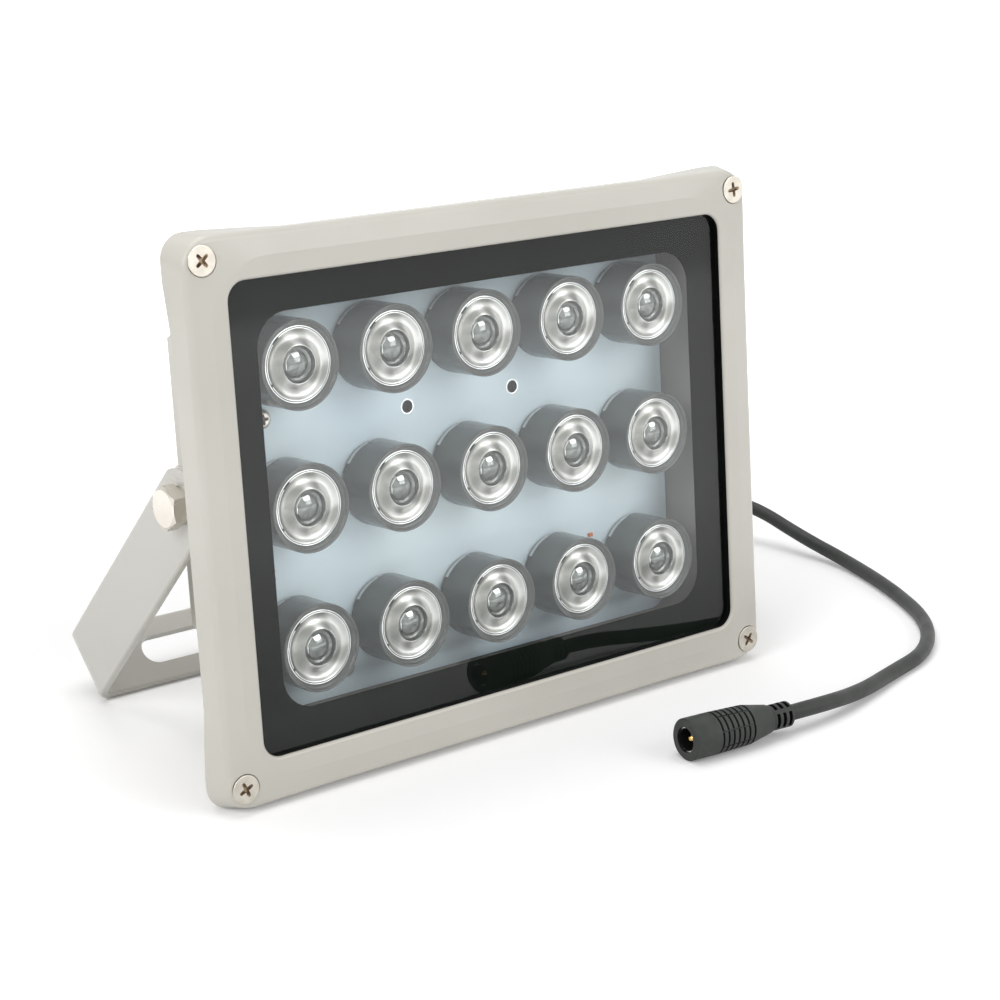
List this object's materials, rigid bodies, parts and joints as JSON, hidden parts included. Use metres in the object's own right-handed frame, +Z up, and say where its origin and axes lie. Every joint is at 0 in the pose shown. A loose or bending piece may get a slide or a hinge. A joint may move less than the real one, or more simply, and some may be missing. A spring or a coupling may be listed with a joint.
{
  "type": "infrared illuminator",
  "caption": "Flat cast-metal lamp with a glass front over rows of lensed infrared emitters, on a tilting U-shaped strap bracket with a short power cord and round socket.",
  "frame": {"origin": "centre of the lamp's and bracket's footprint, on the surface that it stands on", "axes": "+X to the right along the glass front, +Y backwards from the glass, +Z up"},
  "size_m": [0.2592, 0.1501, 0.1376],
  "materials": {
    "white_paint": "semi-gloss powder coat",
    "white_strap": "semi-gloss powder coat",
    "bright_screws": "nickel plated",
    "window": "clear float glass with a black printed border",
    "gasket": "matte silicone",
    "board_white": "white solder mask on an aluminium core",
    "emitter": "clear dome on a ceramic base",
    "orange_chip": "moulded",
    "green_board": "solder mask",
    "can": "bright can",
    "black_plastic": "moulded",
    "green_plastic": "moulded",
    "lead_rubber": "silicone",
    "bolt_steel": "zinc plated",
    "holder_black": "moulded",
    "lens_clear": "clear acrylic",
    "cord_rubber": "matte jacket",
    "contact_metal": "nickel plated",
    "contact_brass": "plated brass"
  },
  "bodies": {
    "lamp": {"front_bezel": "white_paint", "bezel_screws": "bright_screws", "front_glass": "window", "glass_gasket": "gasket", "rear_housing": "white_paint", "led_board": "board_white", "board_screws": "bright_screws", "led_emitters": "emitter", "sensor_chip": "orange_chip", "driver_board": "green_board", "driver_screws": "bright_screws", "driver_capacitor": "can", "driver_inductor": "black_plastic", "driver_chip": "black_plastic", "terminal_blocks": "green_plastic", "input_leads": "lead_rubber", "led_leads": "lead_rubber", "pivot_bolts": "bolt_steel", "spring_washers": "bolt_steel", "gland_body": "black_plastic", "gland_ring": "gasket", "gland_seal": "gasket", "gland_nut": "black_plastic", "lens_holder_01": "holder_black", "lens_holder_02": "holder_black", "lens_holder_03": "holder_black", "lens_holder_04": "holder_black", "lens_holder_05": "holder_black", "lens_holder_06": "holder_black", "lens_holder_07": "holder_black", "lens_holder_08": "holder_black", "lens_holder_09": "holder_black", "lens_holder_10": "holder_black", "lens_holder_11": "holder_black", "lens_holder_12": "holder_black", "lens_holder_13": "holder_black", "lens_holder_14": "holder_black", "lens_holder_15": "holder_black", "lens_01": "lens_clear", "lens_02": "lens_clear", "lens_03": "lens_clear", "lens_04": "lens_clear", "lens_05": "lens_clear", "lens_06": "lens_clear", "lens_07": "lens_clear", "lens_08": "lens_clear", "lens_09": "lens_clear", "lens_10": "lens_clear", "lens_11": "lens_clear", "lens_12": "lens_clear", "lens_13": "lens_clear", "lens_14": "lens_clear", "lens_15": "lens_clear", "power_cord": "cord_rubber", "connector_body": "cord_rubber", "connector_sleeve": "contact_metal", "connector_pin": "contact_brass"},
    "bracket": {"mounting_bracket": "white_strap"}
  },
  "joints": [
    {"name": "bracket_tilt", "type": "hinge", "parent": "lamp", "child": "bracket", "pos_m": [0, -0.01165, 0.0665], "axis": [1, 0, 0], "range_deg": [-38.2, 131.8]}
  ]
}
